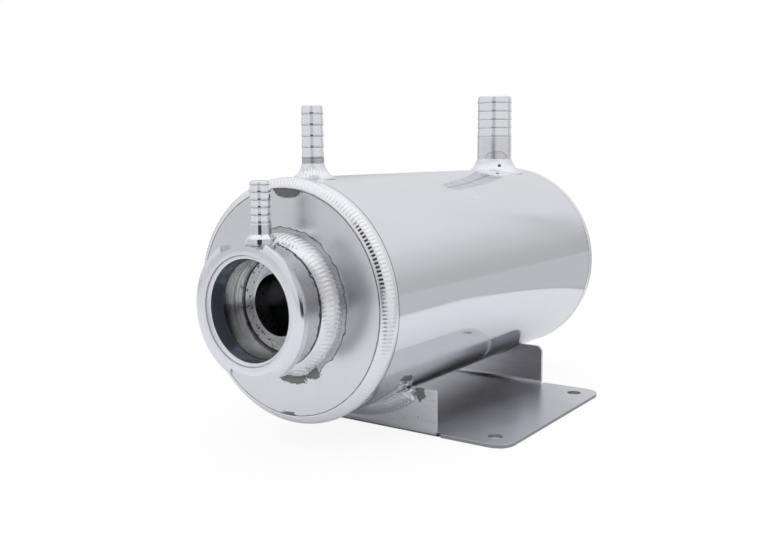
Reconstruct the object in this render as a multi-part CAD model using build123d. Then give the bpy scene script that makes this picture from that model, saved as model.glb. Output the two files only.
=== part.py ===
from build123d import *
import math
import os

# A welded aluminium coolant expansion tank. Millimetres, +Z up, the tank's axis along Y and the filler
# neck at -Y. The origin is on the underside of the bracket, below the tank's axis and midway between
# the front and rear bolt holes.

# Tank
tube_od = 101.6
tube_wall = 3.2
tank_length = 203.2
axis_height = 61.2
tank_shift = 2.7
end_plate_thickness = 4.0
end_plate_gap = 0.1
tube_setback = 1.5

# Rim welds, each in the corner between an end plate and the tube
rim_weld_width = 7.2
rim_weld_depth = 3.9
rim_weld_crown = 1.9

# Filler neck, a turned piece on the tank's axis
neck_projection = 23.4
neck_od = 50.4
mouth_bore = 41.0
mouth_depth = 8.4
mouth_round = 1.6
inner_bore = 40.0
throat_bore = 25.9
seat_height = 3.5
seat_lip_width = 1.2
seat_lip_height = 0.8
seat_groove_width = 1.0
seat_groove_depth = 0.8
spigot_od = 34.0
spigot_gap = 0.1

# The neck's flange for the cap, with two notches, a cam slope behind each lobe and a stop at its deep end
flange_od = 56.6
flange_face_od = 51.4
flange_bevel = 1.1
flange_crown = 0.2
flange_thickness = 3.3
notch_angle = 50.0
notch_turn = -4.0
cam_slope = 3.0
stop_angle = 6.0
stop_depth = 1.6

# Neck weld
neck_weld_height = 8.5
neck_weld_leg = 3.9
neck_weld_crown = 1.3

# Overflow barb, seated on a spot face in the top of the neck
overflow_setback = 9.8
spot_face_dia = 13.2
spot_face_depth = 0.85
overflow_foot_dia = 11.0
overflow_foot_height = 1.65
overflow_collar_dia = 12.4
overflow_collar_height = 1.82
overflow_cone_height = 1.67
overflow_shank_dia = 8.6
overflow_shank_length = 4.5
overflow_barb_dia = 8.4
overflow_barb_rise = 0.5
overflow_pitch = 2.95
overflow_teeth = 6
overflow_tip_length = 1.48
overflow_tip_round = 0.4
overflow_bore = 5.0
overflow_stub_dia = 7.6
overflow_stub_length = 4.0
overflow_stub_gap = 0.05

# Hose barbs in the top of the tube
barb_rise = 0.3
barb_tip_round = 0.9
barb_stub_gap = 0.1
barb_stub_inside = 1.0
barb_stub_taper = 0.1
barb_teeth = 5

front_barb_inset = 19.3
front_barb_dia = 9.3
front_barb_bore = 6.5
front_barb_height = 29.3
front_barb_pitch = 4.52
front_barb_tip = 3.7

rear_barb_inset = 23.8
rear_barb_dia = 18.8
rear_barb_bore = 15.0
rear_barb_height = 40.0
rear_barb_pitch = 4.54
rear_barb_tip = 3.8

# Hollow fillet welds round the hose barbs
front_barb_weld_height = 5.6
front_barb_weld_leg = 5.2
rear_barb_weld_height = 5.9
rear_barb_weld_leg = 7.0
barb_weld_hollow = 1.1
barb_weld_toe = 0.2

# Bracket, one folded sheet
sheet = 1.6
bend_radius = 1.6
bracket_width = 146.7
bracket_shift = 3.4
bracket_length = 105.0
plate_corner = 8.0
cradle_width = 88.6
cradle_drop = 40.2
cradle_gap = 0.2
front_cradle_overhang = 2.0
front_cradle_corner = 1.0
rear_cradle_corner = 3.5
relief_width = 1.2
hole_dia = 6.5
hole_inset_x = 10.25
hole_inset_y = 10.5

# Bracket welds, each along the arc between a cradle's outer face and the tube
bracket_weld_on_tube = 6.9
bracket_weld_on_cradle = 6.5
bracket_weld_crown = 0.9
bracket_weld_wrap = 1.4
bracket_weld_drop = 0.4

# How far a cut runs past the faces it opens
run_out = 1.0

# Sizes that follow from those above
tube_r = tube_od / 2
tube_bore_r = tube_r - tube_wall
tube_top = axis_height + tube_r
plate_r = tube_bore_r - end_plate_gap
front_y = tank_shift - tank_length / 2
rear_y = front_y + tank_length
neck_r = neck_od / 2
rim_y = front_y - neck_projection
flange_back_y = rim_y + flange_thickness
overflow_y = rim_y + overflow_setback
spot_face_z = axis_height + neck_r - spot_face_depth
front_barb_y = front_y + front_barb_inset
rear_barb_y = rear_y - rear_barb_inset
barb_stub_z = tube_top - tube_wall - barb_stub_inside
fold_radius = bend_radius + sheet
cradle_height = axis_height - cradle_drop
front_cradle_y = -bracket_length / 2 - front_cradle_overhang
rear_cradle_y = bracket_length / 2
hole_spacing_x = bracket_width - 2 * hole_inset_x
hole_spacing_y = bracket_length - 2 * hole_inset_y
tank_middle = Plane((0, tank_shift, 0), z_dir=(0, 1, 0))
beyond = 2 * max(tank_length, bracket_width)


def turned(outline):
    """Turn a closed (radius, y) outline about the tank's axis."""
    face = Pos(0, 0, axis_height) * make_face(outline)
    return revolve(face, axis=Axis((0, 0, axis_height), (0, 1, 0)))


def turned_upright(outline, y):
    """Turn a closed (radius, z) outline about a vertical axis at y on the tank's centre line."""
    return Pos(0, y, 0) * revolve(Plane.XZ * make_face(outline), axis=Axis.Z)


def axial_bar(radius, start_y, end_y):
    circle = Pos(0, start_y, axis_height) * (Plane.XZ * Circle(radius))
    return extrude(circle, end_y - start_y, dir=(0, 1, 0))


def upright_bar(radius, y, start_z, end_z):
    return Pos(0, y, start_z) * extrude(Circle(radius), end_z - start_z)


def about_axis(radius, angle):
    """(x, z) from the tank's axis, the angle counted from the top towards +X."""
    return (radius * math.sin(math.radians(angle)), radius * math.cos(math.radians(angle)))


def sector(middle, angle, radius, start_y, end_y):
    """A wedge about the tank's axis, out to at least the radius."""
    half = angle / 2
    reach = radius / math.cos(math.radians(half))
    corners = [(0, 0)]
    for turn in (-half, 0, half):
        corners.append(about_axis(reach, middle + turn))
    wedge = Pos(0, start_y, axis_height) * (Plane.XZ * make_face(Polyline(*corners, close=True)))
    return extrude(wedge, end_y - start_y, dir=(0, 1, 0))


def bowed(start, end, rise):
    """An arc from start to end whose middle stands off the straight line, to its right as one goes."""
    run = (end[0] - start[0], end[1] - start[1])
    length = math.hypot(*run)
    middle = (
        (start[0] + end[0]) / 2 + run[1] / length * rise,
        (start[1] + end[1]) / 2 - run[0] / length * rise,
    )
    return ThreePointArc(start, middle, end)


def teeth(peak_r, root_r, base_z, pitch, count):
    """The outline of hose teeth, from the lowest up: each is widest at its foot."""
    points = []
    for tooth in range(count):
        foot = base_z + tooth * pitch
        points += [(peak_r, foot), (root_r, foot + pitch)]
    return points


def make_tube():
    ends = [
        (tube_bore_r, front_y + tube_setback),
        (tube_r, front_y + rim_weld_width),
        (tube_r, rear_y - rim_weld_width),
        (tube_bore_r, rear_y - tube_setback),
    ]
    tube = turned(Polyline(*ends, close=True))
    for y, dia in ((front_barb_y, front_barb_dia), (rear_barb_y, rear_barb_dia)):
        tube -= upright_bar(dia / 2 + barb_stub_gap, y, axis_height, tube_top + run_out)
    return tube


def make_blank_plate():
    """An end plate at the neck end, with no hole."""
    outline = [
        (0, front_y),
        (tube_r - rim_weld_depth, front_y),
        (plate_r, front_y + tube_setback),
        (plate_r, front_y + end_plate_thickness),
        (0, front_y + end_plate_thickness),
    ]
    return turned(Polyline(*outline, close=True))


def make_front_plate():
    back_y = front_y + end_plate_thickness
    return make_blank_plate() - axial_bar(spigot_od / 2 + spigot_gap, front_y - run_out, back_y + run_out)


def make_rim_weld():
    """The bead round the plate at the neck end."""
    plate_edge = (tube_r - rim_weld_depth, front_y)
    tube_edge = (tube_r, front_y + rim_weld_width)
    root = Polyline(
        plate_edge,
        (plate_r, front_y + tube_setback),
        (tube_bore_r, front_y + tube_setback),
        tube_edge,
    )
    return turned(root + bowed(tube_edge, plate_edge, -rim_weld_crown))


def make_neck():
    mouth_r = mouth_bore / 2
    bore_r = inner_bore / 2
    throat_r = throat_bore / 2
    lip_r = throat_r + seat_lip_width
    seat_y = front_y - seat_height
    deep_y = flange_back_y + neck_r * math.tan(math.radians(cam_slope)) + stop_depth
    face_edge = (flange_face_od / 2, rim_y)
    flange_edge = (flange_od / 2, rim_y + flange_bevel)
    outside = Polyline(
        flange_edge,
        (flange_od / 2, deep_y),
        (neck_r, deep_y),
        (neck_r, front_y),
        (spigot_od / 2, front_y),
        (spigot_od / 2, front_y + end_plate_thickness),
        (throat_r, front_y + end_plate_thickness),
        (throat_r, seat_y - seat_lip_height),
        (lip_r, seat_y - seat_lip_height),
        (lip_r, seat_y),
        (bore_r - seat_groove_width, seat_y),
        (bore_r - seat_groove_width, seat_y + seat_groove_depth),
        (bore_r, seat_y + seat_groove_depth),
        (bore_r, rim_y + mouth_depth),
        (mouth_r, rim_y + mouth_depth),
        (mouth_r, rim_y + mouth_round),
    )
    mouth_edge = RadiusArc((mouth_r, rim_y + mouth_round), (mouth_r + mouth_round, rim_y), mouth_round)
    face = Line((mouth_r + mouth_round, rim_y), face_edge)
    neck = turned(outside + mouth_edge + face + bowed(face_edge, flange_edge, flange_crown))
    neck -= make_notches(deep_y)
    neck -= make_cam_cuts(deep_y)
    neck -= make_spot_face_cut()
    stub_hole_r = overflow_stub_dia / 2 + overflow_stub_gap
    neck -= upright_bar(stub_hole_r, overflow_y, axis_height, spot_face_z + run_out)
    return neck


def make_spot_face_cut():
    return upright_bar(spot_face_dia / 2, overflow_y, spot_face_z, axis_height + flange_od)


def make_notches(deep_y):
    """The two gaps in the flange that the cap's ears drop through, down to the neck's wall."""
    start_y = rim_y - run_out
    end_y = deep_y + run_out
    notches = Part()
    for middle in (notch_turn, notch_turn + 180):
        notches += sector(middle, notch_angle, flange_od, start_y, end_y)
    return notches - axial_bar(neck_r, start_y, end_y)


def make_cam_cuts(deep_y):
    """What is cut from behind the lobes: a slope on each, up to the stop at its deep end."""
    depth = deep_y - flange_back_y
    cuts = Part()
    for side, notch in ((1, notch_turn + 180), (-1, notch_turn)):
        slab = Pos(side * flange_od / 2, depth, 0) * Box(flange_od, 2 * depth, beyond)
        slope = Pos(0, flange_back_y, axis_height) * (Rot(side * cam_slope, 0, 0) * slab)
        stop = sector(notch - (notch_angle + stop_angle) / 2, stop_angle, flange_od, rim_y, deep_y)
        cuts += slope - stop
    return cuts - axial_bar(neck_r, rim_y, front_y)


def make_neck_weld():
    neck_edge = (neck_r, front_y - neck_weld_height)
    plate_edge = (neck_r + neck_weld_leg, front_y)
    root = Polyline(plate_edge, (neck_r, front_y), neck_edge)
    return turned(root + bowed(neck_edge, plate_edge, neck_weld_crown)) - make_spot_face_cut()


def make_overflow_barb():
    shank_r = overflow_shank_dia / 2
    peak_r = overflow_barb_dia / 2
    root_r = peak_r - overflow_barb_rise
    tip_r = root_r - overflow_tip_round
    bore_r = overflow_bore / 2
    foot_z = spot_face_z + overflow_foot_height
    collar_z = foot_z + overflow_collar_height
    cone_z = collar_z + overflow_cone_height
    teeth_z = cone_z + overflow_shank_length
    top_z = teeth_z + (overflow_teeth - 1) * overflow_pitch + overflow_tip_length
    outline = [
        (bore_r, spot_face_z - overflow_stub_length),
        (overflow_stub_dia / 2, spot_face_z - overflow_stub_length),
        (overflow_stub_dia / 2, spot_face_z),
        (overflow_foot_dia / 2, spot_face_z),
        (overflow_foot_dia / 2, foot_z),
        (overflow_collar_dia / 2, foot_z),
        (overflow_collar_dia / 2, collar_z),
        (shank_r, cone_z),
        (shank_r, teeth_z),
        *teeth(peak_r, root_r, teeth_z, overflow_pitch, overflow_teeth - 1),
        (peak_r, top_z - overflow_tip_length),
        (root_r, top_z - overflow_tip_round),
        (tip_r, top_z),
        (bore_r, top_z),
    ]
    return turned_upright(Polyline(*outline, close=True), overflow_y)


def make_hose_barb(y, dia, bore, weld_height, height, pitch, tip_length):
    """A hose barb whose stub tapers from the top of its weld down."""
    peak_r = dia / 2
    root_r = peak_r - barb_rise
    top_z = tube_top + height
    teeth_z = top_z - tip_length - (barb_teeth - 1) * pitch
    side = Polyline(
        (root_r - barb_tip_round, top_z),
        (bore / 2, top_z),
        (bore / 2, barb_stub_z),
        (peak_r - barb_stub_taper, barb_stub_z),
        (peak_r, tube_top + weld_height),
        *teeth(peak_r, root_r, teeth_z, pitch, barb_teeth - 1),
        (peak_r, top_z - tip_length),
        (root_r, top_z - barb_tip_round),
    )
    tip = RadiusArc((root_r, top_z - barb_tip_round), (root_r - barb_tip_round, top_z), -barb_tip_round)
    return turned_upright(side + tip, y)


def make_barb_weld(y, dia, height, leg):
    """A hollow fillet round a hose barb, cut to sit on the tube."""
    toe_r = dia / 2 + leg
    tube_z = axis_height + math.sqrt(tube_r**2 - toe_r**2)
    toe = (toe_r, tube_z + barb_weld_toe)
    top = (dia / 2, tube_top + height)
    root = Polyline(toe, (toe_r, barb_stub_z), (dia / 2 - barb_stub_taper, barb_stub_z), top)
    fillet_ring = turned_upright(root + bowed(top, toe, barb_weld_hollow), y)
    return fillet_ring - axial_bar(tube_r, -beyond, beyond)


def make_bracket():
    plate = RectangleRounded(bracket_width, bracket_length, plate_corner)
    bracket = Pos(bracket_shift, 0, 0) * extrude(plate, sheet)
    for side, overhang in ((-1, front_cradle_overhang), (1, 0)):
        relief_depth = fold_radius - overhang
        relief = Box(cradle_width + 2 * relief_width, relief_depth, 2 * sheet)
        bracket -= Pos(0, side * (bracket_length - relief_depth) / 2, sheet / 2) * relief
    bracket += make_channel()
    bracket -= axial_bar(tube_r + cradle_gap, front_cradle_y - run_out, rear_cradle_y + run_out)
    for place in GridLocations(hole_spacing_x, hole_spacing_y, 2, 2):
        bracket -= Pos(bracket_shift, 0, 0) * place * Cylinder(hole_dia / 2, 2 * (sheet + run_out))
    return bracket


def make_channel():
    """The folded strip: the middle of the plate and the two cradles that stand up from it."""
    length = rear_cradle_y - front_cradle_y
    on_floor = (Align.CENTER, Align.CENTER, Align.MIN)
    outer = Box(cradle_width, length, cradle_height, align=on_floor)
    inner = Box(cradle_width, length - 2 * sheet, cradle_height, align=on_floor)
    channel = Pos(0, (rear_cradle_y + front_cradle_y) / 2, 0) * (outer - Pos(0, 0, sheet) * inner)
    channel = fillet(channel.edges().filter_by(Axis.X).group_by(Axis.Z)[1], bend_radius)
    channel = fillet(channel.edges().filter_by(Axis.X).group_by(Axis.Z)[0], fold_radius)
    for end, radius in ((0, front_cradle_corner), (-1, rear_cradle_corner)):
        corners = channel.edges().filter_by(Axis.Y).group_by(Axis.Z)[-1].group_by(Axis.Y)
        channel = fillet(corners[end], radius)
    return channel


def make_bracket_weld(cradle_y):
    """The bead along the outer face of a cradle that faces the neck end."""
    on_tube = (tube_r, cradle_y - bracket_weld_on_tube)
    on_cradle = (tube_r + bracket_weld_on_cradle, cradle_y)
    root = Polyline(on_cradle, (tube_r, cradle_y), on_tube)
    ring = turned(root + bowed(on_tube, on_cradle, bracket_weld_crown))
    cradle_end = math.degrees(math.acos(cradle_drop / tube_r))
    half = cradle_end + math.degrees(bracket_weld_wrap / tube_r)
    on_floor = (Align.CENTER, Align.CENTER, Align.MIN)
    below_edge = Box(beyond, beyond, cradle_height - bracket_weld_drop, align=on_floor)
    return ring & sector(180, 2 * half, tube_od, cradle_y - tube_r, cradle_y) & below_edge


def write(name, shape):
    shape.label = name
    export_step(shape, os.path.join("parts", name + ".step"))


def main():
    os.makedirs("parts", exist_ok=True)
    rim_weld = make_rim_weld()
    write("tank_tube", make_tube())
    write("front_end_plate", make_front_plate())
    write("rear_end_plate", mirror(make_blank_plate(), about=tank_middle))
    write("front_rim_weld", rim_weld)
    write("rear_rim_weld", mirror(rim_weld, about=tank_middle))
    write("filler_neck", make_neck())
    write("neck_weld", make_neck_weld())
    write("overflow_barb", make_overflow_barb())
    front_barb = (front_barb_y, front_barb_dia, front_barb_bore, front_barb_weld_height)
    write("front_hose_barb", make_hose_barb(*front_barb, front_barb_height, front_barb_pitch, front_barb_tip))
    rear_barb = (rear_barb_y, rear_barb_dia, rear_barb_bore, rear_barb_weld_height)
    write("rear_hose_barb", make_hose_barb(*rear_barb, rear_barb_height, rear_barb_pitch, rear_barb_tip))
    front_fillet = (front_barb_weld_height, front_barb_weld_leg)
    write("front_barb_weld", make_barb_weld(front_barb_y, front_barb_dia, *front_fillet))
    rear_fillet = (rear_barb_weld_height, rear_barb_weld_leg)
    write("rear_barb_weld", make_barb_weld(rear_barb_y, rear_barb_dia, *rear_fillet))
    write("mounting_bracket", make_bracket())
    write("front_bracket_weld", make_bracket_weld(front_cradle_y))
    write("rear_bracket_weld", mirror(make_bracket_weld(-rear_cradle_y), about=Plane.XZ))


main()
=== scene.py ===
import bpy
import bmesh
import math
import random
from mathutils import Matrix, Vector


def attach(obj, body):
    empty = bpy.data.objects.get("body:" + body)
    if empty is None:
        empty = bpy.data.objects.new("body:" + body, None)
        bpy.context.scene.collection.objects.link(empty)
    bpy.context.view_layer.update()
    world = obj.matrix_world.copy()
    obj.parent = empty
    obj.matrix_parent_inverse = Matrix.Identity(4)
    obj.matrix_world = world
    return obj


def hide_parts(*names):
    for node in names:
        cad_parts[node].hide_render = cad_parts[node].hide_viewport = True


# The looks of a polished aluminium coolant expansion tank, in metres, +Z up, the filler neck at -Y.

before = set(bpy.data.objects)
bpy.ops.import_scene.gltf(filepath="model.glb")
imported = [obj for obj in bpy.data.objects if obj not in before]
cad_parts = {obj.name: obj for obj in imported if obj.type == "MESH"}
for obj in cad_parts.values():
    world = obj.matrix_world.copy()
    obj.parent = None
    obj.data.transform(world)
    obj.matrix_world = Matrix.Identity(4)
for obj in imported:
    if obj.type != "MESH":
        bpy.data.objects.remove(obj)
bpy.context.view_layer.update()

MM = 0.001

# Tank
AXIS_Z = 61.2 * MM
TUBE_R = 50.8 * MM
TUBE_TOP = AXIS_Z + TUBE_R
TUBE_BORE_R = 47.6 * MM
FRONT_Y = -98.9 * MM
MIDDLE_Y = 2.7 * MM

# Rim welds, with how deep their ripples are and how many ripples they bow back
RIM_WIDTH = 7.2 * MM
RIM_DEPTH = 3.9 * MM
RIM_CROWN = 1.9 * MM
RIM_RIPPLES = 190
RIM_RIPPLE_DEPTH = 0.24 * MM
RIM_RIPPLE_BOW = 0.6
PLATE_R = 47.5 * MM
SETBACK = 1.5 * MM

# Neck and its weld, with the crater where the weld ends, in degrees from the top
NECK_R = 25.2 * MM
NECK_WELD_HEIGHT = 8.5 * MM
NECK_WELD_LEG = 3.9 * MM
NECK_WELD_CROWN = 1.3 * MM
NECK_RIPPLES = 88
NECK_RIPPLE_DEPTH = 0.42 * MM
NECK_RIPPLE_BOW = 0.9
CRATER_TURN = 157
CRATER_SWELL = 0.3
CRATER_REACH = 5.0 * MM
CRATER_SWIRL = 0.62
OVERFLOW_Y = -112.5 * MM
SPOT_FACE_R = 6.6 * MM
SPOT_FACE_Z = 85.55 * MM

# Hose barb welds: the barb's place along Y, its radius, the weld's height and leg
FRONT_BARB_Y = -79.6 * MM
REAR_BARB_Y = 80.5 * MM
BARB_WELDS = {
    "front_barb_weld": (FRONT_BARB_Y, 4.65 * MM, 5.6 * MM, 5.2 * MM),
    "rear_barb_weld": (REAR_BARB_Y, 9.4 * MM, 5.9 * MM, 7.0 * MM),
}
BARB_WELD_HOLLOW = 1.1 * MM
BARB_WELD_TOE = 0.2 * MM
BARB_RIPPLE_PITCH = 1.7 * MM
BARB_RIPPLE_DEPTH = 0.32 * MM
BARB_RIPPLE_BOW = 0.9
BARB_ARC_STEPS = 80

# Bracket welds: where each cradle's outer face stands, and the bead's section and reach
CRADLE_FACES = {"front_bracket_weld": -54.5 * MM, "rear_bracket_weld": 52.5 * MM}
BRACKET_WELD_ON_TUBE = 6.9 * MM
BRACKET_WELD_ON_CRADLE = 6.5 * MM
BRACKET_WELD_CROWN = 0.9 * MM
BRACKET_WELD_HALF = 39.2
BRACKET_WELD_TOP = 40.65 * MM
BRACKET_WELD_END = 0.09
BRACKET_WELD_THINNEST = 0.2
BRACKET_RIPPLES = 40
BRACKET_RIPPLE_DEPTH = 0.6 * MM
BRACKET_RIPPLE_BOW = 0.8

# Points across a bead's face and along one ripple
CROWN_STEPS = 22
RIPPLE_STEPS = 10

# Where along a ripple its crest lies, 0 to 1
RIPPLE_CREST = 0.75

# The materials measure in millimetres and degrees. Along is Y, Height is up from the tank's axis and Turn
# is round it from the top towards +X. On a barb, Height is up from the ground and Turn is round from the
# front. A pair of places is where a soft edge begins and ends, or the two edges of a band.

# Tube: the line at a rim weld's toe, and a looped mark on the right of its top
TOE_LINE = (0.2, 0.65)
LOOP_TURN = 20.0
LOOP_LENGTH = 18.0
LOOP_ALONG = 6.0
LOOP_LEAN = 0.25
LOOP_WAVE = 1.1
LOOP_WAVE_RATE = 0.42
LOOP_HALF = 1.7
LOOP_LINE = (0.05, 0.5)
TUBE_DEGREE = 0.887

# Front plate: the etched ring round the neck weld, and each dark patch's middle, half size and raggedness
FRONT_HALF = (-60.0, -40.0)
ETCHED_RING_R = 30.9
PLATE_PATCHES = (
    ((2.3, 46.5), (7.2, 3.4), 1.5),
    ((2.6, -30.3), (7.2, 2.7), 1.4),
    ((12.4, -27.4), (4.6, 2.3), 1.4),
    ((0.4, -48.3), (4.8, 2.9), 1.4),
)

# Neck: the flange's rounding and lobes, the bore with its mouth and seat, where painted shade darkens the
# bore's lower half, the painted shade at the mouth's step and in the seat's groove, the turns where the
# wall is darker, and the wall behind the flange
FLANGE_ROUNDING = (20.7, 23.4)
FLANGE_BACK = (-118.0, -117.0)
LOBES = (25.35, 28.15)
LOBES_BACK = (-121.4, -121.1)
BORE = (20.52, 20.62)
BORE_SHADED_BELOW = (-3.5, 1.0)
MOUTH_END = (-114.1, -113.8)
MOUTH_STEP_SHADE = (-114.0, -113.75)
SEAT = (-102.7, -102.4)
SEAT_LIP = (14.15, 14.3)
SEAT_GROOVE = (19.5, 19.75)
NECK_WALL = (25.0, 25.6)
NECK_WALL_START = (-118.6, -118.0)
NECK_DARKER_TURNS = (56.0, 88.0)
NECK_TOE_ABOVE_WELD = 0.35

# Barbs: place along Y, lowest tooth's foot, pitch and count, dull band, how dull, and a scorched oval's
# middle and half size in degrees round and millimetres up
BARB_LOOKS = {
    "overflow_barb": (OVERFLOW_Y, (95.19, 2.95, 6), (85.0, 87.2), 0.1, None),
    "front_hose_barb": (FRONT_BARB_Y, (119.52, 4.52, 5), (117.0, 120.2), 0.5, None),
    "rear_hose_barb": (REAR_BARB_Y, (130.04, 4.54, 5), (117.0, 130.0), -0.02, ((36.0, 118.6), (38.0, 3.2))),
}
# Half widths of the painted line of shade at each tooth's foot, and of the rounding there
TOOTH_SHADE_LINE = (0.1, 0.3)
TOOTH_ROUNDING = (0.0, 0.8)

# Bracket: the base's cut edge, the foot of the cradles, the near cradle and the patch on it
BASE_EDGE = (-59.85, -59.7)
CRADLE_FOOT = (-58.5, -57.5)
NEAR_CRADLE = (-53.2, -52.9)
CRADLE_PATCH = ((36.5, -42.7), (2.5, 3.3))

# Weld beads: the painted shade by the cradles, the painted reflection on the neck's bead, the blowhole and
# the painted dark reflection between the rim weld's ripples
CRADLES_MIDDLE = -1.0
CRADLE_BEAD_START = (55.4, 56.0)
CRADLE_BEAD_END = (63.0, 64.0)
CRADLE_BEAD_TOP = (-37.0, -34.0)
NECK_BEAD = (-99.6, -99.0)
NECK_BEAD_REFLECTION = (50.0, 84.0)
BLOWHOLE = (7.55, 72.35, 114.1)
BLOWHOLE_R = (0.85, 1.05)
RIM_REFLECTION_R = (48.05, 49.35)
RIM_REFLECTION_TURN = (46.0, 80.0)
RIM_REFLECTION_ALONG = (-96.0, -95.5)
RIM_REFLECTION_SHARE = (-0.35, 0.15)

# Camera, with its turn to the side, up and about its own line of sight in radians
CAMERA_PLACE = (0.23962, -0.37297, 0.12187)
CAMERA_YAW = -0.608
CAMERA_PITCH = -0.141
CAMERA_ROLL = -0.008
LENS = 42.19
SENSOR_WIDTH = 36

# The bracket's footprint, where the floor glows less and gets painted shade, in millimetres
BRACKET_MIDDLE_X = 3.4
BRACKET_HALF_X = 73.35
BRACKET_HALF_Y = 52.5
FOOTPRINT_EDGE = (-4.0, -1.0)

# The pale sheet that the tank stands on ends at these places along X and Y, in millimetres, and a grey
# table goes on. The sheet fades from FADE[0] to FADE[1] millimetres away in the direction FADE_TO.
SHEET_X = (-1600.0, 187.0)
SHEET_Y = (-1600.0, 218.0)
SHEET_CORNER = 40.0
SHEET_END = (-3.0, 4.0)
SHEET_SHADOW = (1.0, 9.0)
FADE_TO = (-0.66, -0.75)
FADE = (250.0, 950.0)

# The floor under both, in metres
FLOOR_HALF = 3
FLOOR_Z = -0.2 * MM

# The dark card in metres: its half width, its top and two paler steps, and how far away it stands, at
# CARD_TURN degrees from -Y towards +X
CARD_TURN = 25.0
CARD_AWAY = 0.5
CARD_HALF = 0.125
CARD_TOP = 0.70
CARD_GREY_FROM = (0.090, 0.112)
CARD_PALE_FROM = (0.125, 0.155)

# The room's brightness by degrees above the level, in the open and on its walls
OPEN_LIGHT = [(-30, 0.74), (0, 0.74), (20, 0.78), (38, 0.80), (55, 1.0), (68, 1.24), (90, 1.24)]
WALL_LIGHT = [(-30, 0.58), (-12, 0.56), (-2, 0.50), (5, 0.51), (10, 0.57), (20, 0.72), (30, 0.80)]

# Where the walls stand, in degrees round the room from +Y. The right one's edge bends as it climbs.
RIGHT_WALL_START = (20.6, 21.6)
RIGHT_WALL_END = (43.0, 47.0)
RIGHT_WALL_BEND = 0.017
RIGHT_WALL_SEAM = (22.5, 23.6)
LEFT_WALL = (-78.0, -34.0)
WALL_TOP = (18.0, 29.0)


class Graph:
    """Adds nodes to one node tree. Each input takes a number, a colour or another node's output."""

    def __init__(self, tree):
        self.tree = tree

    def add(self, kind, inputs=None, **settings):
        node = self.tree.nodes.new(kind)
        for key, value in settings.items():
            setattr(node, key, value)
        for key, value in (inputs or {}).items():
            self.set(node.inputs[key], value)
        return node

    def set(self, socket, value):
        if isinstance(value, bpy.types.NodeSocket):
            self.tree.links.new(value, socket)
        else:
            socket.default_value = value

    def math(self, operation, a, b=0.0, c=0.0):
        return self.add("ShaderNodeMath", {0: a, 1: b, 2: c}, operation=operation).outputs[0]

    def plus(self, a, b):
        return self.math("ADD", a, b)

    def minus(self, a, b):
        return self.math("SUBTRACT", a, b)

    def times(self, first, *others):
        """The product of two or more values."""
        for other in others:
            first = self.math("MULTIPLY", first, other)
        return first

    def hypotenuse(self, a, b):
        """How long the line is that goes a one way and b across it."""
        return self.math("SQRT", self.plus(self.times(a, a), self.times(b, b)))

    def step(self, value, low, high):
        """0 below low and 1 above high, smooth between."""
        node = self.add("ShaderNodeMapRange", {"Value": value}, interpolation_type="SMOOTHSTEP")
        node.inputs["From Min"].default_value = low
        node.inputs["From Max"].default_value = high
        return node.outputs["Result"]

    def fall(self, value, low, high):
        """1 below low and 0 above high, smooth between."""
        return self.minus(1.0, self.step(value, low, high))

    def between(self, value, low, high, soft):
        """1 between low and high, 0 outside, with soft edges."""
        past_low = self.step(value, low - soft, low + soft)
        past_high = self.step(value, high - soft, high + soft)
        return self.minus(past_low, past_high)

    def blend(self, share, first, second):
        """From one colour to another."""
        node = self.add("ShaderNodeMix", data_type="RGBA")
        for key, value in ((0, share), (6, first), (7, second)):
            self.set(node.inputs[key], value)
        return node.outputs[2]

    def paint(self, colour, mask, share, coat):
        """A colour with a coat over it where mask is 1, as strongly as share says."""
        return self.blend(self.times(mask, share), colour, coat)

    def level(self, share, first, second):
        """From one number to another."""
        node = self.add("ShaderNodeMix", {0: share, 2: first, 3: second}, data_type="FLOAT")
        return node.outputs[0]

    def ramp(self, value, stops):
        """A smooth curve through (place, level) stops, as a grey."""
        low, high = stops[0][0], stops[-1][0]
        place = self.add("ShaderNodeMapRange", {"Value": value, "From Min": low, "From Max": high})
        node = self.add("ShaderNodeValToRGB", {"Fac": place.outputs["Result"]})
        ramp = node.color_ramp
        ramp.interpolation = "B_SPLINE"
        while len(ramp.elements) < len(stops):
            ramp.elements.new(0.5)
        for element, (at, level) in zip(ramp.elements, stops):
            element.position = (at - low) / (high - low)
            element.color = grey(level)
        return node.outputs["Color"]

    def use(self, group, inputs=None):
        return self.add("ShaderNodeGroup", inputs, node_tree=group).outputs

    def millimetres(self):
        """The point on the surface in the tank's frame, in millimetres."""
        point = self.add("ShaderNodeTexCoord").outputs["Object"]
        return self.add("ShaderNodeVectorMath", {0: point, 3: 1 / MM}, operation="SCALE").outputs[0]

    def split(self, vector):
        return self.add("ShaderNodeSeparateXYZ", {0: vector}).outputs


def grey(level, blue=0.0):
    return (level, level, level * (1 + blue), 1)


# Node groups
FLOAT = "NodeSocketFloat"
VECTOR = "NodeSocketVector"


def new_group(name, inputs, outputs):
    """An empty node group with named sockets, its graph, its inputs and its output node."""
    tree = bpy.data.node_groups.new(name, "ShaderNodeTree")
    for label, value in inputs.items():
        kind = FLOAT if isinstance(value, float) else VECTOR
        tree.interface.new_socket(label, in_out="INPUT", socket_type=kind).default_value = value
    for label, kind in outputs.items():
        tree.interface.new_socket(label, in_out="OUTPUT", socket_type=kind)
    graph = Graph(tree)
    return tree, graph, graph.add("NodeGroupInput").outputs, graph.add("NodeGroupOutput").inputs


def about_axis(g, first, second, along):
    """Radius and degrees round an axis, and the surface rolled out flat, from the place about the axis."""
    radius = g.hypotenuse(first, second)
    turn = g.math("ARCTAN2", first, second)
    rolled = g.add("ShaderNodeCombineXYZ", {0: along, 1: g.times(turn, radius), 2: radius}).outputs[0]
    return radius, g.times(turn, 180 / math.pi), rolled


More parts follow.
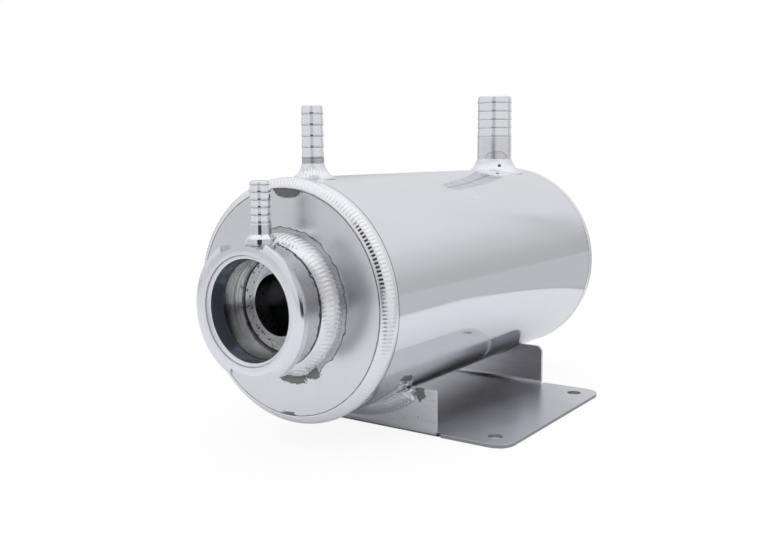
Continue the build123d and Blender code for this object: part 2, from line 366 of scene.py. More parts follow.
def group_tank_place():
    """Where a point lies about the tank's axis, in millimetres, and the surface rolled out flat."""
    outputs = {label: FLOAT for label in ("Across", "Along", "Height", "Radius", "Turn")}
    outputs.update({"Place": VECTOR, "Rolled": VECTOR})
    tree, g, _, leave = new_group("tank place", {}, outputs)
    place = g.millimetres()
    x, y, z = g.split(place)
    up = g.minus(z, AXIS_Z / MM)
    radius, turn, rolled = about_axis(g, x, up, y)
    for label, result in zip(outputs, (x, y, up, radius, turn, place, rolled)):
        g.set(leave[label], result)
    return tree


def group_upright_place():
    """Where a point lies about an upright axis at Axis Y, in millimetres, and the surface rolled out."""
    outputs = {"Height": FLOAT, "Turn": FLOAT, "Place": VECTOR, "Rolled": VECTOR}
    tree, g, enter, leave = new_group("upright place", {"Axis Y": 0.0}, outputs)
    place = g.millimetres()
    x, y, z = g.split(place)
    radius, turn, rolled = about_axis(g, x, g.minus(enter["Axis Y"], y), z)
    for label, result in zip(outputs, (z, turn, place, rolled)):
        g.set(leave[label], result)
    return tree


def group_grain():
    """Noise stretched by Stretch, 0 to 1, for brushing, lathe rings and smudges."""
    inputs = {"Place": (0.0, 0.0, 0.0), "Stretch": (1.0, 1.0, 1.0), "Detail": 2.0}
    tree, g, enter, leave = new_group("grain", inputs, {"Amount": FLOAT})
    place = g.add("ShaderNodeVectorMath", {0: enter["Place"], 1: enter["Stretch"]}, operation="MULTIPLY")
    settings = {"Vector": place.outputs[0], "Scale": 1.0, "Detail": enter["Detail"]}
    g.set(leave["Amount"], g.add("ShaderNodeTexNoise", settings).outputs["Fac"])
    return tree


def group_specks():
    """Small sparse dark pits about Size millimetres across, the fewer the higher Rarity is."""
    inputs = {"Place": (0.0, 0.0, 0.0), "Size": 0.5, "Rarity": 0.7}
    tree, g, enter, leave = new_group("specks", inputs, {"Mask": FLOAT})
    scale = g.math("DIVIDE", 0.6, enter["Size"])
    noise = g.add("ShaderNodeTexNoise", {"Vector": enter["Place"], "Scale": scale, "Detail": 1.0})
    g.set(leave["Mask"], g.step(g.minus(noise.outputs["Fac"], enter["Rarity"]), 0.0, 0.04))
    return tree


def group_stain():
    """A ragged etched patch where Distance, in millimetres, is below 0, and the darker line round it."""
    inputs = {"Place": (0.0, 0.0, 0.0), "Distance": 0.0, "Ragged": 0.5, "Grain": 1.0, "Line": 0.2}
    tree, g, enter, leave = new_group("etched stain", inputs, {"Mask": FLOAT, "Edge": FLOAT})
    noise = g.add("ShaderNodeTexNoise", {"Vector": enter["Place"], "Scale": enter["Grain"], "Detail": 3.0})
    swing = g.times(g.minus(noise.outputs["Fac"], 0.5), 2.0)
    edge = g.plus(enter["Distance"], g.times(swing, enter["Ragged"]))
    near = g.minus(1.0, g.math("DIVIDE", g.math("ABSOLUTE", edge), enter["Line"]))
    g.set(leave["Mask"], g.fall(edge, -0.12, 0.12))
    g.set(leave["Edge"], g.step(near, 0.0, 0.6))
    return tree


TANK_PLACE = group_tank_place()
UPRIGHT_PLACE = group_upright_place()
GRAIN = group_grain()
SPECKS = group_specks()
STAIN = group_stain()


def grain(g, place, stretch, detail):
    return g.use(GRAIN, {"Place": place, "Stretch": stretch, "Detail": detail})["Amount"]


def specks(g, place, size, rarity):
    return g.use(SPECKS, {"Place": place, "Size": size, "Rarity": rarity})["Mask"]


def stain(g, place, distance, ragged, grain, line):
    """The mask of a ragged patch, and the mask of the line round it."""
    inputs = {"Place": place, "Distance": distance, "Ragged": ragged, "Grain": grain, "Line": line}
    outputs = g.use(STAIN, inputs)
    return outputs["Mask"], outputs["Edge"]


def oval_distance(g, across, up, centre, half):
    """Roughly how far a point is outside an oval, in millimetres."""
    u = g.math("DIVIDE", g.minus(across, centre[0]), half[0])
    v = g.math("DIVIDE", g.minus(up, centre[1]), half[1])
    return g.times(g.minus(g.hypotenuse(u, v), 1.0), min(half))


# Metals
def new_metal(name):
    """A metal's material, its graph and its Principled node's inputs."""
    material = bpy.data.materials.new(name)
    material.use_nodes = True
    shader = material.node_tree.nodes["Principled BSDF"].inputs
    shader["Metallic"].default_value = 1
    return material, Graph(material.node_tree), shader


def finish_metal(g, shader, colour, rough, height, distance=1.0):
    """Colour, roughness, and bump from a height, distance in millimetres deep."""
    g.set(shader["Base Color"], colour)
    g.set(shader["Roughness"], rough)
    bump = g.add("ShaderNodeBump", {"Height": height, "Distance": distance * MM, "Strength": 1.0})
    g.set(shader["Normal"], bump.outputs[0])


def loop_mark(g, along, turn):
    """The mask of a looped line: two wavy lines side by side that meet in a half circle."""
    turned = g.minus(turn, LOOP_TURN)
    wave = g.times(g.math("SINE", g.times(turned, LOOP_WAVE_RATE)), LOOP_WAVE)
    middle = g.plus(g.minus(LOOP_ALONG, g.times(turned, LOOP_LEAN)), wave)
    past = g.math("MAXIMUM", g.times(g.minus(turned, LOOP_LENGTH), TUBE_DEGREE), 0.0)
    reach = g.hypotenuse(g.minus(along, middle), past)
    line = g.fall(g.math("ABSOLUTE", g.minus(reach, LOOP_HALF)), *LOOP_LINE)
    return g.times(line, g.step(turned, -1.0, 1.0))


def build_tube_metal():
    """Polished by wheel: nearly a mirror, with faint smudges, hairlines round it and a looped mark."""
    material, g, shader = new_metal("polished tube")
    place = g.use(TANK_PLACE)
    smudge = grain(g, place["Rolled"], stretch=(0.02, 0.05, 0.0), detail=3.0)
    hairline = grain(g, place["Rolled"], stretch=(6.0, 0.05, 0.0), detail=4.0)
    colour = g.blend(smudge, grey(0.80, 0.03), grey(0.87, 0.035))
    colour = g.paint(colour, specks(g, place["Place"], size=0.35, rarity=0.76), 0.35, grey(0.35))
    for toe in (FRONT_Y + RIM_WIDTH, 2 * MIDDLE_Y - FRONT_Y - RIM_WIDTH):
        off = g.math("ABSOLUTE", g.minus(place["Along"], toe / MM))
        colour = g.paint(colour, g.fall(off, *TOE_LINE), 0.75, grey(0.16))
    mark = loop_mark(g, place["Along"], place["Turn"])
    colour = g.paint(colour, mark, 0.7, grey(1.0))
    height = g.plus(g.times(hairline, 0.0012), g.times(mark, 0.015))
    finish_metal(g, shader, colour, g.level(smudge, 0.05, 0.13), height)
    return material


def build_plate_metal():
    """Satin sheet with an upright grain, etched grey patches by the front welds and small pits."""
    material, g, shader = new_metal("satin plate")
    place = g.use(TANK_PLACE)
    point = place["Place"]
    streak = grain(g, point, stretch=(1.1, 0.0, 0.05), detail=4.0)
    cloud = grain(g, point, stretch=(0.05, 0.05, 0.04), detail=3.0)
    fine = grain(g, point, stretch=(5.0, 5.0, 3.0), detail=2.0)
    colour = g.blend(cloud, grey(0.76, 0.02), grey(0.87, 0.025))
    colour = g.paint(colour, streak, 0.22, grey(0.52, 0.02))
    front = g.fall(place["Along"], *FRONT_HALF)
    from_ring = g.minus(place["Radius"], ETCHED_RING_R)
    inside, edge = stain(g, point, from_ring, ragged=1.7, grain=0.26, line=0.32)
    colour = g.paint(colour, g.times(inside, front), 0.65, grey(0.42, 0.02))
    colour = g.paint(colour, g.times(edge, front), 0.9, grey(0.10))
    for centre, half, ragged in PLATE_PATCHES:
        distance = oval_distance(g, place["Across"], place["Height"], centre, half)
        inside, edge = stain(g, point, distance, ragged, grain=0.9, line=0.25)
        colour = g.paint(colour, g.times(inside, front), 0.92, grey(0.15, 0.02))
        colour = g.paint(colour, g.times(edge, front), 0.7, grey(0.07))
    colour = g.paint(colour, specks(g, point, size=0.45, rarity=0.74), 0.75, grey(0.14))
    from_rim = g.minus(place["Radius"], (TUBE_R - RIM_DEPTH) / MM - 0.1)
    _, line = stain(g, point, from_rim, ragged=0.25, grain=0.5, line=0.4)
    colour = g.paint(colour, line, 0.8, grey(0.14))
    height = g.plus(g.times(fine, 0.004), g.times(streak, 0.01))
    finish_metal(g, shader, colour, g.level(cloud, 0.21, 0.30), height)
    return material


def build_neck_metal():
    """Turned aluminium: a polished flange, a machined bore with painted shade and a painted dark reflection
    in it, and a wall that the weld's heat left grey.
    """
    material, g, shader = new_metal("machined neck")
    place = g.use(TANK_PLACE)
    point, radius, along = place["Place"], place["Radius"], place["Along"]
    rings = grain(g, place["Rolled"], stretch=(5.5, 0.02, 5.5), detail=3.0)
    blotch = grain(g, point, stretch=(0.28, 0.28, 0.28), detail=5.0)
    fine = grain(g, point, stretch=(1.6, 1.6, 1.6), detail=4.0)

    # Flange
    colour = g.blend(blotch, grey(0.80, 0.03), grey(0.88, 0.035))
    rounding = g.times(g.between(radius, *FLANGE_ROUNDING, 0.2), g.fall(along, *FLANGE_BACK))
    lobes = g.times(g.between(radius, *LOBES, 0.05), g.step(along, *LOBES_BACK))
    rough = g.level(rounding, g.level(blotch, 0.09, 0.16), 0.45)
    rough = g.level(lobes, rough, 0.4)

    # Mouth and bore, with a painted dark bluish reflection by the mouth and painted shade on the bore's
    # lower half
    bore = g.fall(radius, *BORE)
    deep = g.step(along, *MOUTH_END)
    mouth_reflection = g.times(bore, g.minus(1.0, deep))
    inner = g.times(bore, deep)
    ring_colour = g.blend(g.step(rings, 0.36, 0.64), grey(0.34, 0.03), grey(0.95))
    # Painted shade, bluish, on the bore's lower half.
    ring_colour = g.paint(ring_colour, g.fall(place["Height"], *BORE_SHADED_BELOW), 0.45, grey(0.10, 0.12))
    # Painted dark bluish reflection by the mouth, the metal made less metallic there so that it shows.
    colour = g.paint(colour, mouth_reflection, 0.9, (0.10, 0.125, 0.175, 1))
    colour = g.blend(inner, colour, ring_colour)
    rough = g.level(inner, rough, 0.24)
    g.set(shader["Metallic"], g.level(mouth_reflection, 1.0, 0.55))

    # Seat at the bore's end
    seat = g.times(bore, g.step(along, *SEAT))
    wander = g.times(g.minus(blotch, 0.5), 1.4)
    # Painted shade in the seat's groove.
    groove_shade = g.times(seat, g.step(g.plus(radius, wander), *SEAT_GROOVE))
    colour = g.paint(colour, seat, 0.8, grey(0.88, 0.01))
    colour = g.blend(g.times(bore, g.fall(radius, *SEAT_LIP)), colour, grey(0.86))
    colour = g.paint(colour, groove_shade, 0.8, grey(0.06))
    colour = g.paint(colour, g.times(specks(g, point, size=0.8, rarity=0.61), seat), 0.8, grey(0.08))
    # A painted line of shade round the bore where the mouth steps into it.
    colour = g.paint(colour, g.times(bore, g.between(along, *MOUTH_STEP_SHADE, 0.1)), 0.8, grey(0.07))

    # Wall behind the flange, down to the weld
    side = g.times(g.between(radius, *NECK_WALL, 0.1), g.step(along, *NECK_WALL_START))
    # Darker between these turns round the axis.
    darker_turns = g.times(g.between(place["Turn"], *NECK_DARKER_TURNS, 9.0), 0.45)
    colour = g.paint(colour, side, g.plus(darker_turns, g.times(fine, 0.65)), grey(0.40, 0.02))
    rough = g.level(side, rough, g.plus(0.2, g.times(fine, 0.2)))
    from_toe = g.minus((FRONT_Y - NECK_WELD_HEIGHT) / MM - NECK_TOE_ABOVE_WELD, along)
    _, toe_line = stain(g, point, from_toe, ragged=1.7, grain=0.4, line=0.75)
    colour = g.paint(colour, g.times(toe_line, side), 0.95, grey(0.05))
    colour = g.paint(colour, g.times(specks(g, point, size=0.8, rarity=0.68), side), 0.7, grey(0.12))

    colour = g.paint(colour, specks(g, point, size=0.4, rarity=0.75), 0.6, grey(0.2))
    height = g.plus(g.times(fine, side, 0.05), g.times(rings, inner, 0.02))
    finish_metal(g, shader, colour, rough, height)
    return material


def build_barb_metal(name, axis_y, teeth, dull_band, dullness, scorched):
    """Turned and polished, with a painted line of shade at each tooth's foot, and a duller band between two
    heights.
    """
    material, g, shader = new_metal(name)
    place = g.use(UPRIGHT_PLACE, {"Axis Y": axis_y / MM})
    point, height = place["Place"], place["Height"]
    rings = grain(g, place["Rolled"], stretch=(4.5, 0.02, 4.5), detail=3.0)
    blotch = grain(g, point, stretch=(0.5, 0.5, 0.5), detail=4.0)
    colour = g.blend(rings, grey(0.85, 0.03), grey(0.93, 0.03))
    uneven = g.times(g.minus(blotch, 0.5), 1.6)
    band = g.between(g.plus(height, uneven), *dull_band, 0.15)
    colour = g.paint(colour, band, g.plus(dullness, g.times(blotch, 0.3)), grey(0.34, 0.03))
    if scorched is not None:
        distance = oval_distance(g, place["Turn"], height, *scorched)
        inside, edge = stain(g, point, distance, ragged=0.7, grain=0.5, line=0.28)
        colour = g.paint(colour, inside, 0.25, grey(0.42))
        colour = g.paint(colour, edge, 0.4, grey(0.12))
    foot, pitch, count = teeth
    climb = g.math("DIVIDE", g.minus(height, foot), pitch)
    on_teeth = g.between(climb, -0.3, count - 0.5, 0.01)
    off = g.times(g.math("ABSOLUTE", g.minus(climb, g.math("ROUND", climb))), pitch)
    # A painted line of shade at each tooth's foot, under its ledge.
    colour = g.paint(colour, g.times(g.fall(off, *TOOTH_SHADE_LINE), on_teeth), 0.45, grey(0.28, 0.06))
    colour = g.paint(colour, specks(g, point, size=0.4, rarity=0.72), 0.6, grey(0.15))
    rounded = g.times(g.fall(off, *TOOTH_ROUNDING), on_teeth)
    bumps = g.plus(g.times(rings, 0.004), g.times(rounded, -0.12))
    finish_metal(g, shader, colour, g.level(band, 0.10, 0.22), bumps)
    return material


def build_sheet_metal():
    """Mill finished sheet: brushed along Y, with scratches, and etched where the weld ends."""
    material, g, shader = new_metal("brushed sheet")
    place = g.use(TANK_PLACE)
    point, height = place["Place"], place["Height"]
    brushed = grain(g, point, stretch=(3.2, 0.03, 3.2), detail=4.0)
    scratch = grain(g, point, stretch=(0.06, 0.5, 4.5), detail=4.0)
    cloud = grain(g, point, stretch=(0.06, 0.06, 0.1), detail=3.0)
    colour = g.blend(cloud, grey(0.66, 0.03), grey(0.78, 0.035))
    colour = g.paint(colour, brushed, 0.2, grey(0.5, 0.04))
    colour = g.paint(colour, g.fall(height, *BASE_EDGE), 0.8, grey(0.25, 0.04))
    marks = g.times(g.step(height, *CRADLE_FOOT), g.step(scratch, 0.58, 0.72))
    colour = g.paint(colour, marks, 0.45, grey(0.22))
    distance = oval_distance(g, place["Across"], height, *CRADLE_PATCH)
    inside, _ = stain(g, point, distance, ragged=1.8, grain=0.6, line=0.25)
    near = g.fall(place["Along"], *NEAR_CRADLE)
    colour = g.paint(colour, g.times(inside, near), 0.85, grey(0.12))
    colour = g.paint(colour, specks(g, point, size=0.55, rarity=0.72), 0.7, grey(0.16))
    bumps = g.plus(g.times(brushed, 0.008), g.times(marks, -0.02))
    finish_metal(g, shader, colour, g.level(cloud, 0.25, 0.34), bumps)
    return material


def build_weld_metal():
    """Bright bead metal, pale and a little frosted, with painted shade in the overlaps and in stretches by
    the cradles, painted dark reflections, fine pits and a blowhole.
    """
    material, g, shader = new_metal("weld metal")
    place = g.use(TANK_PLACE)
    point, along, turn = place["Place"], place["Along"], place["Turn"]
    frost = grain(g, point, stretch=(1.2, 1.2, 1.2), detail=4.0)
    fine = grain(g, point, stretch=(4.0, 4.0, 4.0), detail=3.0)
    colour = g.blend(frost, grey(0.86, 0.02), grey(0.95, 0.02))
    colour = g.paint(colour, specks(g, point, size=0.4, rarity=0.74), 0.6, grey(0.2))

    # Painted shade in the valleys where one ripple overlaps the next
    hollow = g.add("ShaderNodeNewGeometry").outputs["Pointiness"]
    # Where the surface is hollow it gets painted shade.
    valley_shade = g.fall(hollow, 0.40, 0.485)
    colour = g.paint(colour, valley_shade, 0.4, grey(0.30, 0.02))

    # Painted shade on the beads by the cradles, under the tube, and a painted dark reflection on the neck's
    # bead at its right
    # Painted shade on the part of the cradle beads that lies under the tube.
    from_middle = g.math("ABSOLUTE", g.minus(along, CRADLES_MIDDLE))
    cradle_bead_shade = g.times(g.step(from_middle, *CRADLE_BEAD_START), g.fall(from_middle, *CRADLE_BEAD_END))
    cradle_bead_shade = g.times(cradle_bead_shade, g.fall(place["Height"], *CRADLE_BEAD_TOP))
    colour = g.paint(colour, cradle_bead_shade, 0.45, grey(0.34, 0.02))
    # Painted dark reflection on the neck's bead at its right, stronger in the valleys.
    neck_bead_reflection = g.times(g.fall(along, *NECK_BEAD), g.between(turn, *NECK_BEAD_REFLECTION, 10.0))
    colour = g.paint(colour, neck_bead_reflection, g.plus(0.36, g.times(valley_shade, 0.5)), grey(0.32, 0.02))

    # The blowhole in the large barb's weld
    away = g.add("ShaderNodeVectorMath", {0: point, 1: BLOWHOLE}, operation="DISTANCE").outputs["Value"]
    colour = g.paint(colour, g.fall(away, *BLOWHOLE_R), 0.9, grey(0.05))

    # Painted dark reflection in squares between the front rim weld's ripples, at its upper right
    rim_dark_reflection = g.times(g.between(place["Radius"], *RIM_REFLECTION_R, 0.12), g.between(turn, *RIM_REFLECTION_TURN, 4.0))
    wave = g.math("SINE", g.times(turn, math.radians(RIM_RIPPLES)))
    rim_dark_reflection = g.times(rim_dark_reflection, g.fall(along, *RIM_REFLECTION_ALONG), g.step(wave, *RIM_REFLECTION_SHARE))
    colour = g.paint(colour, rim_dark_reflection, 0.95, grey(0.02, 0.1))

    finish_metal(g, shader, colour, g.level(frost, 0.18, 0.32), fine, distance=0.02)
    return material


weld_metal = build_weld_metal()
FINISHES = {
    "tank_tube": ("polished_tube", build_tube_metal()),
    "front_end_plate": ("satin_plate", build_plate_metal()),
    "filler_neck": ("machined_neck", build_neck_metal()),
    "mounting_bracket": ("brushed_sheet", build_sheet_metal()),
}
FINISHES["rear_end_plate"] = FINISHES["front_end_plate"]
for node, looks in BARB_LOOKS.items():
    FINISHES[node] = ("machined_barb", build_barb_metal(node.replace("_", " "), *looks))
for node, (slot, material) in FINISHES.items():
    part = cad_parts[node]
    part.data.materials.clear()
    part.data.materials.append(material)


# Weld beads, with their ripples
def slow_wave(u, seed):
    """A slow wave round a seam that repeats after one turn, from -1 to 1."""
    waves = random.Random(seed)
    total = 0
    for turns in (2, 3, 5, 7, 11):
        total += math.sin(2 * math.pi * (turns * u + waves.random())) / 5
    return total


def bead_piece(name, points, faces):
    """A smooth mesh that stands for the weld of that name."""
    mesh = bpy.data.meshes.new(name + "_bead")
    mesh.from_pydata([tuple(p) for p in points], [], faces)
    mesh.validate()
    form = bmesh.new()
    form.from_mesh(mesh)
    bmesh.ops.recalc_face_normals(form, faces=form.faces)
    form.to_mesh(mesh)
    form.free()
    mesh.polygons.foreach_set("use_smooth", [True] * len(mesh.polygons))
    mesh.materials.append(weld_metal)
    piece = bpy.data.objects.new(name + "_bead", mesh)
    bpy.context.scene.collection.objects.link(piece)
    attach(piece, "root")
    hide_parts(name)


def loops_to_faces(loop_count, loop_size, closed):
    """Quads between one closed loop of points and the next, with flat ends on an open run."""
    faces = []
    for i in range(loop_count if closed else loop_count - 1):
        first = i * loop_size
        second = (i + 1) % loop_count * loop_size
        for j in range(loop_size):
            beside = (j + 1) % loop_size
            faces.append((first + j, second + j, second + beside, first + beside))
    if not closed:
        faces.append(tuple(reversed(range(loop_size))))
        faces.append(tuple((loop_count - 1) * loop_size + j for j in range(loop_size)))
    return faces


def arc_points(start, end, rise, count):
    """Points along a shallow arc, and the direction out of its face, as (radius, y) pairs."""
    run = (end[0] - start[0], end[1] - start[1])
    length = math.hypot(*run)
    out = (run[1] / length, -run[0] / length)
    points = []
    for k in range(count + 1):
        t = k / count
        lift = 4 * rise * t * (1 - t)
        points.append((start[0] + run[0] * t + out[0] * lift, start[1] + run[1] * t + out[1] * lift))
    return points, out


def ripple(phase):
    """How deep the face lies under its crown, 0 to 1: each ripple rises slowly and drops fast."""
    part = phase % 1.0
    if part < RIPPLE_CREST:
        return (1 - part / RIPPLE_CREST) ** 1.7
    return ((part - RIPPLE_CREST) / (1 - RIPPLE_CREST)) ** 1.4


def fade_both(t):
    """Ripples that fade towards both edges of a face."""
    return math.sin(math.pi * t) ** 1.4 if 0 < t < 1 else 0.0


def fade_outer(t):
    """Ripples on the part next to the end plate, and a smooth band beside the tube."""
    return min(1, max(0.02, 7 * (t - 0.1)), max(0.02, 6 * (0.74 - t)))


def fade_cradle(t):
    """Ripples from the tube's side on, and a smooth band beside the cradle."""
    return min(1, 8 * t, max(0.03, 6 * (0.88 - t)))


def from_crater(angle, radius):
    """How far a place on a seam lies from the crater, along the seam."""
    return ((angle - math.radians(CRATER_TURN) + math.pi) % (2 * math.pi) - math.pi) * radius


def swirl(phase, aside, across, width, pitch):
    """Round the crater's middle the ripples turn into rings about it."""
    centre = math.hypot(aside, across)
    share = min(1.0, 3 * max(0.0, 1 - centre / (CRATER_SWIRL * width)))
    return phase * (1 - share) + centre / pitch * share


def ring_weld(name, section, root, ripples, fade, crater=False):
    """A bead all the way round the tank's axis.

    Its section is (start, end, rise), root closes it behind, ripples gives their count, depth and bow."""
    start, end, rise = section
    count, depth, bow = ripples
    crown, out = arc_points(start, end, rise, CROWN_STEPS)
    width = math.hypot(end[0] - start[0], end[1] - start[1])
    middle_r = (start[0] + end[0]) / 2
    pitch = 2 * math.pi * middle_r / count
    steps = count * RIPPLE_STEPS
    points = []
    for i in range(steps):
        u = i / steps
        angle = 2 * math.pi * u
        aside = from_crater(angle, middle_r)
        swell = 1 + CRATER_SWELL * math.exp(-((aside / CRATER_REACH) ** 2)) if crater else 1.0
        wander = 0.3 * slow_wave(u, len(name)) + 0.1 * slow_wave(3 * u % 1, 5)
        loop = []
        for k, (r, y) in enumerate(crown):
            t = k / CROWN_STEPS
            phase = u * count - bow * (2 * t - 1) ** 2 + wander
            if crater:
                phase = swirl(phase, aside, (t - 0.5) * width, width, pitch)
            sink = depth * fade(t) * ripple(phase)
            r -= out[0] * sink
            y -= out[1] * sink
            loop.append((start[0] + (r - start[0]) * swell, end[1] + (y - end[1]) * swell))
        for r, y in loop + root:
            points.append((r * math.sin(angle), y, AXIS_Z + r * math.cos(angle)))
    return points, loops_to_faces(steps, CROWN_STEPS + 1 + len(root), True)


def build_rim_welds():
    """The bead round the front plate, and the same one mirrored round the rear plate."""
    section = ((TUBE_R - RIM_DEPTH, FRONT_Y), (TUBE_R, FRONT_Y + RIM_WIDTH), RIM_CROWN)
    root = [(TUBE_BORE_R, FRONT_Y + SETBACK), (PLATE_R, FRONT_Y + SETBACK)]
    ripples = (RIM_RIPPLES, RIM_RIPPLE_DEPTH, RIM_RIPPLE_BOW)
    points, faces = ring_weld("front_rim_weld", section, root, ripples, fade_outer)
    bead_piece("front_rim_weld", points, faces)
    bead_piece("rear_rim_weld", [(x, 2 * MIDDLE_Y - y, z) for x, y, z in points], faces)


def build_neck_weld():
    """The bead round the neck, cut back where the overflow barb's spot face passes it."""
    start = (NECK_R, FRONT_Y - NECK_WELD_HEIGHT)
    section = (start, (NECK_R + NECK_WELD_LEG, FRONT_Y), NECK_WELD_CROWN)
    ripples = (NECK_RIPPLES, NECK_RIPPLE_DEPTH, NECK_RIPPLE_BOW)
    points, faces = ring_weld("neck_weld", section, [(NECK_R, FRONT_Y)], ripples, fade_both, crater=True)
    cleared = []
    for x, y, z in points:
        if z > SPOT_FACE_Z and abs(x) < SPOT_FACE_R:
            y = max(y, OVERFLOW_Y + math.sqrt(SPOT_FACE_R**2 - x**2))
        cleared.append((x, y, z))
    bead_piece("neck_weld", cleared, faces)


def build_bracket_weld(name, face_y):
    """A bead along a cradle's outer face, thinner towards its rounded ends."""
    side = -1 if face_y < 0 else 1
    on_tube = (TUBE_R, BRACKET_WELD_ON_TUBE)
    on_cradle = (TUBE_R + BRACKET_WELD_ON_CRADLE, 0.0)
    crown, out = arc_points(on_tube, on_cradle, -BRACKET_WELD_CROWN, CROWN_STEPS)
    steps = BRACKET_RIPPLES * RIPPLE_STEPS
    points = []
    for i in range(steps + 1):
        u = i / steps
        along = 2 * u - 1
        end = min(1.0, (1 - abs(along)) / BRACKET_WELD_END)
        thick = max(BRACKET_WELD_THINNEST, math.sqrt(1 - (1 - end) ** 2))
        wander = 0.35 * slow_wave(u, 9)
        section = []
        for k, (r, off) in enumerate(crown):
            t = k / CROWN_STEPS
            phase = u * BRACKET_RIPPLES - BRACKET_RIPPLE_BOW * (2 * t - 1) ** 2 + wander
            sink = BRACKET_RIPPLE_DEPTH * fade_cradle(t) * ripple(phase)
            r -= abs(out[0]) * sink
            off -= abs(out[1]) * sink
            section.append((TUBE_R + (r - TUBE_R) * thick, max(0.0, off) * thick))
        section.append((TUBE_R, 0.0))
        for r, off in section:
            half = min(BRACKET_WELD_HALF, math.degrees(math.acos(BRACKET_WELD_TOP / r)))
            angle = math.pi + math.radians(half * along)
            points.append((r * math.sin(angle), face_y + side * off, AXIS_Z + r * math.cos(angle)))
    bead_piece(name, points, loops_to_faces(steps + 1, CROWN_STEPS + 2, False))


def tube_height(x):
    """How high the tube's surface is at x."""
    return AXIS_Z + math.sqrt(TUBE_R**2 - x**2)


def landing(curve, side):
    """The first point of a fillet's curve that is inside the tube, in the direction that side gives."""
    for k, (r, z) in enumerate(curve):
        if k and z < tube_height(r * side):
            return k
    return len(curve) - 1


def point_between(curve, place):
    """The point of a curve at a place counted in its points."""
    low = min(int(place), len(curve) - 2)
    part = place - low
    r = curve[low][0] * (1 - part) + curve[low + 1][0] * part
    z = curve[low][1] * (1 - part) + curve[low + 1][1] * part
    return r, z


def build_barb_weld(name, y, radius, height, leg):
    """A hollow fillet round a hose barb, landed on the tube all round."""
    toe = (radius + leg, tube_height(radius + leg) + BARB_WELD_TOE)
    top = (radius, TUBE_TOP + height)
    curve, out = arc_points(top, toe, BARB_WELD_HOLLOW, BARB_ARC_STEPS)
    count = round(2 * math.pi * (radius + leg / 2) / BARB_RIPPLE_PITCH)
    steps = count * RIPPLE_STEPS
    points = []
    for i in range(steps):
        u = i / steps
        side, along = math.cos(2 * math.pi * u), math.sin(2 * math.pi * u)
        landed = landing(curve, side)
        wander = 0.3 * slow_wave(u, len(name))
        for k in range(CROWN_STEPS + 1):
            t = k / CROWN_STEPS
            r, z = point_between(curve, t * landed)
            phase = u * count - BARB_RIPPLE_BOW * (2 * t - 1) ** 2 + wander
            sink = BARB_RIPPLE_DEPTH * fade_both(t) * ripple(phase)
            r -= abs(out[0]) * sink
            z -= abs(out[1]) * sink
            points.append((r * side, y + r * along, z))
        points.append((radius * side, y + radius * along, tube_height(radius * side)))
    bead_piece(name, points, loops_to_faces(steps, CROWN_STEPS + 2, True))


build_rim_welds()
build_neck_weld()
for name, face_y in CRADLE_FACES.items():
    build_bracket_weld(name, face_y)
for name, sizes in BARB_WELDS.items():
    build_barb_weld(name, *sizes)


# Camera, floor and light
def build_camera():
    """The camera, which looks ahead from its place and is turned a little about its line of sight."""
    data = bpy.data.cameras.new("camera")
    data.lens = LENS
    data.sensor_width = SENSOR_WIDTH
    camera = bpy.data.objects.new("camera", data)
    bpy.context.scene.collection.objects.link(camera)
    level = Vector((math.sin(CAMERA_YAW), math.cos(CAMERA_YAW), 0))
    ahead = level * math.cos(CAMERA_PITCH) + Vector((0, 0, math.sin(CAMERA_PITCH)))
    right = Vector((math.cos(CAMERA_YAW), -math.sin(CAMERA_YAW), 0))
    right = right * math.cos(CAMERA_ROLL) + right.cross(ahead) * math.sin(CAMERA_ROLL)
    turn = Matrix((right, right.cross(ahead), -ahead)).transposed().to_4x4()
    camera.matrix_world = Matrix.Translation(CAMERA_PLACE) @ turn
    bpy.context.scene.camera = camera


def stage_sheet(name, corners, material):
    """A flat sheet between four corners that isn't part of the tank."""
    mesh = bpy.data.meshes.new(name)
    mesh.from_pydata(corners, [], [(0, 1, 2, 3)])
    mesh.materials.append(material)
    sheet = bpy.data.objects.new(name, mesh)
    bpy.context.scene.collection.objects.link(sheet)
    return sheet


def beyond(g, place, ends):
    """How far a place is past the nearer of two ends, in millimetres, below 0 between them."""
    return g.math("MAXIMUM", g.minus(ends[0], place), g.minus(place, ends[1]))


def mix_for_camera(g, others, camera):
    """One shader to the camera and another to the metal that mirrors it."""
    camera_ray = g.add("ShaderNodeLightPath").outputs["Is Camera Ray"]
    return g.add("ShaderNodeMixShader", {0: camera_ray, 1: others, 2: camera}).outputs[0]


def sheet_and_table(g, x, y):
    """The colour of the pale sheet, which fades to one side, of its edge and of the grey table."""
    past = g.math("SMOOTH_MAX", beyond(g, x, SHEET_X), beyond(g, y, SHEET_Y), SHEET_CORNER)
    away = g.plus(g.times(x, FADE_TO[0]), g.times(y, FADE_TO[1]))
    colour = g.blend(g.step(away, *FADE), grey(0.95, 0.015), grey(0.68, 0.015))
    colour = g.blend(g.step(past, *SHEET_END), colour, grey(0.64, 0.02))
    return g.paint(colour, g.between(past, *SHEET_SHADOW, 4.0), 0.6, grey(0.42, 0.02))


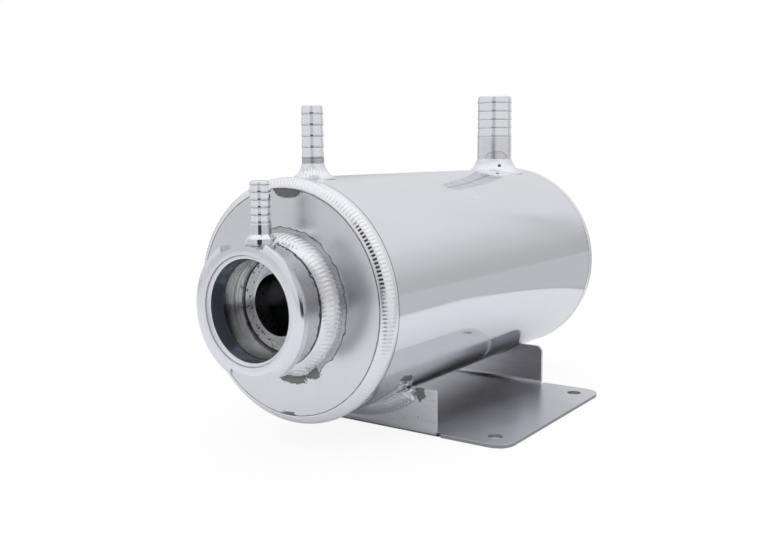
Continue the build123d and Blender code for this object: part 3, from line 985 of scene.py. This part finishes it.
def build_floor():
    """White to the camera but for a soft shadow, and a pale sheet on a grey table to the tank's metal."""
    material = bpy.data.materials.new("pale floor")
    material.use_nodes = True
    g = Graph(material.node_tree)
    g.tree.nodes.clear()
    x, y, _ = g.split(g.millimetres())
    pale = g.add("ShaderNodeBsdfDiffuse", {"Color": sheet_and_table(g, x, y)}).outputs[0]
    shadowed = g.add("ShaderNodeBsdfDiffuse", {"Color": grey(0.9)}).outputs[0]
    white = g.add("ShaderNodeEmission", {"Strength": 1.05}).outputs[0]
    # Under the bracket's footprint the floor glows less, so it shows darker than its real shadow alone:
    # painted shade as well as real shadow.
    past_x = g.minus(g.math("ABSOLUTE", g.minus(x, BRACKET_MIDDLE_X)), BRACKET_HALF_X)
    past_y = g.minus(g.math("ABSOLUTE", y), BRACKET_HALF_Y)
    clear = g.step(g.math("MAXIMUM", past_x, past_y), *FOOTPRINT_EDGE)
    soft = g.add("ShaderNodeMixShader", {0: g.level(clear, 0.25, 0.84), 1: shadowed, 2: white}).outputs[0]
    g.add("ShaderNodeOutputMaterial", {"Surface": mix_for_camera(g, pale, soft)})
    corners = []
    for x_sign, y_sign in ((-1, -1), (1, -1), (1, 1), (-1, 1)):
        corners.append((x_sign * FLOOR_HALF, y_sign * FLOOR_HALF, FLOOR_Z))
    stage_sheet("floor", corners, material)


def build_dark_card():
    """A dark upright card beside the camera, paler higher up, seen only in the metal."""
    material = bpy.data.materials.new("dark card")
    material.use_nodes = True
    shader = material.node_tree.nodes["Principled BSDF"]
    shader.inputs["Roughness"].default_value = 1
    g = Graph(material.node_tree)
    height = g.split(g.add("ShaderNodeTexCoord").outputs["Object"])[2]
    colour = g.blend(g.step(height, *CARD_PALE_FROM), (0.50, 0.50, 0.53, 1), (0.76, 0.76, 0.79, 1))
    colour = g.blend(g.step(height, *CARD_GREY_FROM), (0.030, 0.040, 0.058, 1), colour)
    g.set(shader.inputs["Base Color"], colour)
    away = Vector((math.sin(math.radians(CARD_TURN)), -math.cos(math.radians(CARD_TURN)), 0))
    aside = Vector((away.y, -away.x, 0))
    corners = []
    for sign, z in ((-1, 0.0), (1, 0.0), (1, CARD_TOP), (-1, CARD_TOP)):
        place = away * CARD_AWAY + aside * CARD_HALF * sign
        corners.append((place.x, place.y, z))
    card = stage_sheet("dark_card", corners, material)
    card.visible_camera = False
    card.visible_diffuse = False
    card.visible_shadow = False
    card.visible_transmission = False


def build_world():
    """A white room to the camera, and to the metal a soft one with an overhead light and grey walls."""
    world = bpy.data.worlds.new("studio")
    bpy.context.scene.world = world
    world.use_nodes = True
    g = Graph(world.node_tree)
    g.tree.nodes.clear()
    x, y, z = g.split(g.add("ShaderNodeTexCoord").outputs["Generated"])
    degrees = 180 / math.pi
    up = g.times(g.math("ARCSINE", z), degrees)
    turn = g.times(g.math("ARCTAN2", x, y), degrees)
    bent = g.plus(turn, g.times(up, up, RIGHT_WALL_BEND))
    right_wall = g.times(g.step(bent, *RIGHT_WALL_START), g.fall(turn, *RIGHT_WALL_END))
    left_wall = g.between(turn, *LEFT_WALL, 6.0)
    low = g.fall(up, *WALL_TOP)
    walls = g.times(g.plus(right_wall, left_wall), low)
    light = g.blend(walls, g.ramp(up, OPEN_LIGHT), g.ramp(up, WALL_LIGHT))
    light = g.paint(light, g.times(g.between(bent, *RIGHT_WALL_SEAM, 0.25), low), 0.5, grey(0.40))
    cooled = g.add("ShaderNodeMix", data_type="RGBA", blend_type="MULTIPLY")
    g.set(cooled.inputs[0], 1.0)
    g.set(cooled.inputs[6], light)
    g.set(cooled.inputs[7], (0.985, 0.99, 1.02, 1))
    studio = g.add("ShaderNodeBackground", {"Color": cooled.outputs[2]}).outputs[0]
    white = g.add("ShaderNodeBackground", {"Color": grey(1.0)}).outputs[0]
    g.add("ShaderNodeOutputWorld", {"Surface": mix_for_camera(g, studio, white)})


build_camera()
build_floor()
build_dark_card()
build_world()
bpy.context.scene.view_settings.view_transform = "Standard"
